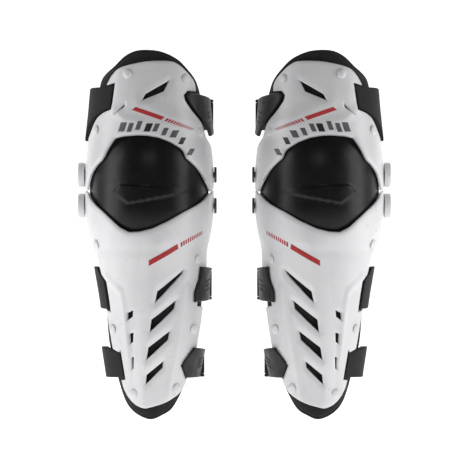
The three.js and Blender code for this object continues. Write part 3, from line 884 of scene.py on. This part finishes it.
def hook(name, spec):
    """A moulded hook: a dished and ribbed blade, and the bar and cheeks that it turns on."""
    hinge, (base, top) = spec["hinge"], spec["band"]
    beside_bar, beside_loop = hinge - BLADE_TO_BAR, hinge - BLADE_TO_LOOP
    outline = fronts(spec["hook"]) + [
        (beside_bar, base), (beside_bar, base + CHEEK), (beside_loop, base + CHEEK),
        (beside_loop, top - CHEEK), (beside_bar, top - CHEEK), (beside_bar, top),
    ]
    lowest, highest = min(z for _, z in outline), max(z for _, z in outline)

    def dished(turn, height):
        span = np.clip((height - lowest) / (highest - lowest), 0, 1)
        reach = np.clip((hinge - turn) / 30, 0, 1)
        return -1.3 * np.sin(math.pi * span) ** 2 * reach + 0.9 * reach * (1 - reach)

    blade = plate(f"hook_{name}_blade", outline, [], HOOK, relief=dished, grid=2, rounding=1.4)
    parts = [blade]
    turn = beside_loop - 8
    for share in (0.3, 0.42, 0.54):
        height = lowest + (highest - lowest) * share
        rib = [(turn - 9, height), (turn, height + 3), (turn, height + 5), (turn - 9, height + 2)]
        layer = (HOOK[1] - 0.8, HOOK[1] + 0.9)
        parts.append(plate("rib", rib, [], layer, relief=dished, grid=1.5, rounding=0.5))
    centre = bar_of(name)
    parts.append(upright("bar", centre, BAR_RADIUS, 0, base + 1, top - 1))
    for low in (base, top - CHEEK):
        parts.append(upright("cheek", centre, CHEEK_RADIUS, 0, low, low + CHEEK))
    skin = join_pieces(f"hook_{name}_skin", parts)
    show(skin, HOOK_BLACK, f"hook_{name}", [f"hook_{name}"], "hook")


# ---- liners ----

def seam_share(mesh, seams, reach):
    """How strongly each vertex is held by the stitched seams, given in metres."""
    points = np.array([tuple(v.co) for v in mesh.vertices])
    away = np.full(len(points), 1e9)
    for seam in seams:
        for start in range(0, len(points), 2000):
            part = points[start:start + 2000, None, :]
            gap = np.linalg.norm(part - seam, axis=2).min(axis=1)
            away[start:start + 2000] = np.minimum(away[start:start + 2000], gap)
    return np.clip(1.4 - away / reach, 0, 1)


def refine(piece, name, kind, **settings):
    """Adds a modifier and applies it."""
    modifier = piece.modifiers.new(name, kind)
    for key, value in settings.items():
        setattr(modifier, key, value)
    with bpy.context.temp_override(object=piece, active_object=piece):
        bpy.ops.object.modifier_apply(modifier=name)


def inflate(piece, held):
    """Fills a piece with air under cloth simulation, with some vertices held."""
    rest = np.array([tuple(v.co) for v in piece.data.vertices])
    group = piece.vertex_groups.new(name="seams")
    for index, share in enumerate(held):
        group.add([index], float(share), "REPLACE")
    cloth = piece.modifiers.new("cloth", "CLOTH")
    cloth.settings.use_pressure = True
    cloth.settings.uniform_pressure_force = PAD_PRESSURE
    cloth.settings.tension_stiffness = 20
    cloth.settings.vertex_group_mass = "seams"
    cloth.settings.effector_weights.gravity = 0
    cloth.point_cache.frame_end = PAD_FRAMES
    for number in range(1, PAD_FRAMES + 1):
        bpy.context.scene.frame_set(number)
    shaped = piece.evaluated_get(bpy.context.evaluated_depsgraph_get())
    moved = np.array([tuple(v.co) for v in shaped.data.vertices]) - rest
    far = np.linalg.norm(moved, axis=1, keepdims=True)
    moved *= np.minimum(1, PAD_PUFF / np.maximum(far, 1e-9))
    piece.modifiers.remove(cloth)
    bpy.context.scene.frame_set(1)
    for vertex, place in zip(piece.data.vertices, rest + moved, strict=True):
        vertex.co = place


def puff(piece, seams):
    """Shapes a liner as a soft pad, drawn in along its stitched seams."""
    refine(piece, "even", "REMESH", mode="VOXEL", voxel_size=PAD_VOXEL)
    held = seam_share(piece.data, seams, SEAM_HOLD)
    inflate(piece, held)
    sink = SEAM_DEPTH * seam_share(piece.data, seams, SEAM_WIDTH) ** 2
    normals = [vertex.normal.copy() for vertex in piece.data.vertices]
    for vertex, normal, depth in zip(piece.data.vertices, normals, sink, strict=True):
        vertex.co -= normal * float(depth)
    refine(piece, "finer", "SUBSURF", levels=1, render_levels=1)
    piece.data.shade_smooth()


def liner(name, body, outline, layer, place, seam_lines):
    """One liner: a puffed cloth body, bound round its edge, with stitched channels."""
    core = plate(f"{name}_skin", outline, [], layer, place, grid=4, rounding=2.4)
    seams, rows = [], []
    for line in seam_lines:
        path = smooth_open(np.asarray(line, float) * LEG_UNIT) / LEG_UNIT
        for level in layer:
            seams.append(in_place(place(path[:, 0], path[:, 1], level)))
        for dash in zip(path[:-1:2], path[1::2]):
            ends = np.array(dash)
            points = place(ends[:, 0], ends[:, 1], layer[0] + 0.5)
            rows.append(tube("stitch", points, 0.4, STITCH_SIDES, closed=False))
    puff(core, seams)
    show(join_pieces(f"{name}_stitching", rows), THREAD, body, slot="liner")
    show(core, LINER_CLOTH, body, [name], "liner")
    border = smooth(np.asarray(outline, float) * LEG_UNIT) / LEG_UNIT
    edge = place(border[:, 0], border[:, 1], (layer[0] + layer[1]) / 2)
    show(tube(f"{name}_binding", edge, 1.9, 10), BINDING, body, slot="liner")


def showing(corners):
    """Corners of a liner where it shows past its shell, as seen from the front."""
    return fronts(corners, -LINER[1])


def liners():
    """The thigh and shin liners and the knee pad, with the lines that they are quilted along."""
    thigh = showing([
        (-69, 452), (-65.7, 461), (-48, 476), (-31.7, 490), (-16.7, 496.5), (1.2, 497.6),
        (20, 495), (40.4, 486), (54, 473.7), (65, 460), (70, 447),
    ]) + [flank(1, 10, 436), flank(1, 16, 392), flank(1, -12, 384)] + fronts([
        (60, 392), (36, 402), (-36, 402), (-60, 392),
    ]) + [flank(-1, -12, 386), flank(-1, 16, 394), flank(-1, 10, 436)]
    shin = fronts([(-52, 232), (-20, 226), (20, 226), (52, 232)]) + [
        flank(1, -12, 236), flank(1, 14, 224), flank(1, 14, 150), flank(1, -6, 92),
    ] + showing([
        (50, 45), (43, 30), (32.4, 14), (20, 6.4), (3, 1), (-18, 8.8), (-32, 23.8), (-43, 53),
    ]) + [flank(-1, -6, 92), flank(-1, 14, 150), flank(-1, 14, 224), flank(-1, -12, 236)]
    thigh_seams = [
        [(-70, 430), (70, 430)],
        [(-70, 456), (70, 456)],
        fronts([(-48, 470), (-12, 489), (20, 487), (48, 470)]),
    ]
    shin_seams = [[(-66, z), (66, z)] for z in (60, 95, 130, 165, 200)]
    shin_seams.append([(0, 12), (0, 218)])
    pad_seams = [lean_of([(0, 256), (0, 386)]), lean_of([(-56, 320), (56, 320)])]
    liner("thigh_liner", "thigh", thigh, LINER, leg_points, thigh_seams)
    liner("shin_liner", "shin", shin, LINER, leg_points, shin_seams)
    liner("knee_pad", "knee", lean_of(KNEE_PAD_OUTLINE), KNEE_PAD, cup_points, pad_seams)


# ---- printed graphics: stripes and slanted bars, with no lettering ----

def print_patch(name, corners, relief):
    """A thin printed patch that lies on a shell's face."""
    return plate(
        name, fronts(corners), [], PRINT, relief=relief, grid=2.6, rounding=0.12, step=3.0
    )


def slanted(x, low, high, width, lean):
    """The corners of a leaning bar."""
    return [(x, low), (x + width, low), (x + width + lean, high), (x + lean, high)]


def stripe(name, start, end, width, solid, relief, surface, body):
    """A stripe that is solid at first, then breaks into ever thinner slanted hatching."""
    start, end = np.array(start, float), np.array(end, float)
    square = np.array([-(end - start)[1], (end - start)[0]])
    square *= width / np.linalg.norm(square) / 2
    at = lambda s, up: tuple(start + (end - start) * s + square * up)
    head = [at(0, -1), at(solid, -1), at(solid + 0.03, 1), at(0.05, 1)]
    pieces = [print_patch(name, head, relief)]
    s = solid + 0.05
    while s < 0.98:
        thick = 0.05 * (1.2 - s)
        reach = 1.15 - 0.5 * s
        dash = [
            at(s, -reach), at(s + thick, -reach), at(s + thick + 0.03, reach), at(s + 0.03, reach),
        ]
        pieces.append(print_patch(name, dash, relief))
        s += thick + 0.014
    show(join_pieces(name, pieces), surface, body, slot="shell")


def rim_height(x):
    """How high the thigh shell's rim stands at x."""
    line = np.array(THIGH_RIM[::-1])
    return float(np.interp(x, line[:, 0], line[:, 1]))


def graphics():
    """The two stripes, and a row of slanted bars above the rim, every fourth one black."""
    stripe("thigh_stripe", (-20.3, 420), (58.8, 392), 5.6, 0.5, THIGH_RELIEF, PALE_RED, "thigh")
    stripe("shin_stripe", (0.3, 210), (73.0, 252), 6.4, 0.55, SHIN_RELIEF, RED, "shin")
    grey, black = [], []
    for i in range(9):
        x = -40 + i * 11.6
        low = rim_height(x + 4) + 4.5 + (0 if i % 2 else 2)
        bar = slanted(x, low, low + 12.5 - 0.45 * i, 6.4 if i % 3 else 8.6, 4.4)
        patch = print_patch("bars", bar, THIGH_RELIEF)
        (black if i % 4 == 3 else grey).append(patch)
    show(join_pieces("thigh_bars_grey", grey), PRINT_GREY, "thigh", slot="shell")
    show(join_pieces("thigh_bars_black", black), PRINT_BLACK, "thigh", slot="shell")


def build_right_guard():
    """Every piece of the right guard."""
    shells()
    rim_trim("thigh_rim_trim", THIGH_RIM[1:-1], THIGH_RELIEF, "thigh")
    rim_trim("shin_rim_trim", SHIN_RIM[1:-1], SHIN_RELIEF, "shin")
    knee_cup()
    pivot_caps()
    rivets()
    for name, spec in STRAPS.items():
        strap(name, spec)
        hook(name, spec)
    liners()
    graphics()


def mirrored(piece, name):
    """The same piece for the other leg."""
    twin = piece.copy()
    twin.data = piece.data.copy()
    twin.name = name
    for vertex in twin.data.vertices:
        vertex.co.x = -vertex.co.x
    twin.data.flip_normals()
    bpy.context.scene.collection.objects.link(twin)
    return twin


def declare(item, piece, side):
    """Says which body a piece rides on, and which CAD nodes it stands for."""
    body = item["body"]
    name = f"{body}_{side}_body" if body.startswith("hook_") else f"{body}_{side}"
    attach(piece, name)
    if item["nodes"]:
        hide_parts(*[f"{node}_{side}" for node in item["nodes"]])


# ---- setting ----

VIEW_HEIGHT = 249.0  # the height up the guard that the camera faces


def sweep():
    """A pale floor that curves up behind into a lit backdrop."""
    floor_z = CAD_BOUNDS[0][2] - 0.02
    start, bend, half_width = 4.0, 1.5, 8
    arc = np.linspace(0.1, math.pi / 2, 16)
    depth = [(-6.0, 0.0), (-0.7, 0.0), (start, 0.0)]
    depth += [(start + bend * math.sin(a), bend - bend * math.cos(a)) for a in arc]
    depth += [(start + bend, 7.0)]
    verts = [(x, y, floor_z + z) for y, z in depth for x in (-half_width, half_width)]
    faces = [(2 * i, 2 * i + 1, 2 * i + 3, 2 * i + 2) for i in range(len(depth) - 1)]
    mesh = bpy.data.meshes.new("sweep")
    mesh.from_pydata(verts, [], faces)
    mesh.shade_smooth()
    lit = moulded("sweep_paper", (0.9, 0.9, 0.9), (0.93, 0.93, 0.93), (0.85, 0.95), 0.02)
    shader = lit.node_tree.nodes["Principled BSDF"]
    shader.inputs["Emission Color"].default_value = (1, 1, 1, 1)
    shader.inputs["Emission Strength"].default_value = 0.8
    near = moulded("near_paper", (0.8, 0.8, 0.8), (0.85, 0.85, 0.85), (0.85, 0.95), 0.02)
    mesh.materials.append(lit)
    mesh.materials.append(near)
    mesh.polygons[0].material_index = 1
    floor = bpy.data.objects.new("sweep", mesh)
    bpy.context.scene.collection.objects.link(floor)


def lights(middle_z):
    """Two large side boxes, a weak front fill, a wash on the backdrop, and a dim white world."""
    for name, place, size, power, aim_y in (
        ("left_box", (-1.6, -0.35, 0.1), (0.9, 1.9), 15, 0),
        ("right_box", (1.6, -0.35, 0.1), (0.9, 1.9), 15, 0),
        ("front_fill", (0, -2.4, 1.3), (1.0, 0.8), 4, 0),
        ("back_wash", (0, 0.9, 1.6), (3.0, 1.0), 8, 0.9),
    ):
        lamp = bpy.data.lights.new(name, "AREA")
        lamp.shape = "RECTANGLE"
        lamp.size, lamp.size_y = size
        lamp.energy = power
        holder = bpy.data.objects.new(name, lamp)
        holder.location = place
        aim = Vector((0, aim_y, middle_z)) - Vector(place)
        holder.rotation_euler = aim.to_track_quat("-Z", "Y").to_euler()
        bpy.context.scene.collection.objects.link(holder)
    world = bpy.data.worlds.new("studio")
    world.use_nodes = True
    world.node_tree.nodes["Background"].inputs["Color"].default_value = (1, 1, 1, 1)
    world.node_tree.nodes["Background"].inputs["Strength"].default_value = 0.1
    bpy.context.scene.world = world


def studio():
    """The backdrop, the lights and a long lens straight in front."""
    middle_z = (VIEW_HEIGHT - KNEE_HEIGHT) * MM
    sweep()
    lights(middle_z)
    lens = bpy.data.cameras.new("camera")
    lens.lens = 169
    camera = bpy.data.objects.new("camera", lens)
    camera.location = (0.0008, -3.04, middle_z)
    camera.rotation_euler = (math.pi / 2, 0, 0)
    bpy.context.scene.collection.objects.link(camera)
    bpy.context.scene.camera = camera
    bpy.context.scene.view_settings.view_transform = "Standard"


build_right_guard()
for item in right_pieces:
    base = item["piece"].name
    twin = mirrored(item["piece"], f"{base}_left")
    item["piece"].name = f"{base}_right"
    declare(item, item["piece"], "right")
    declare(item, twin, "left")
studio()
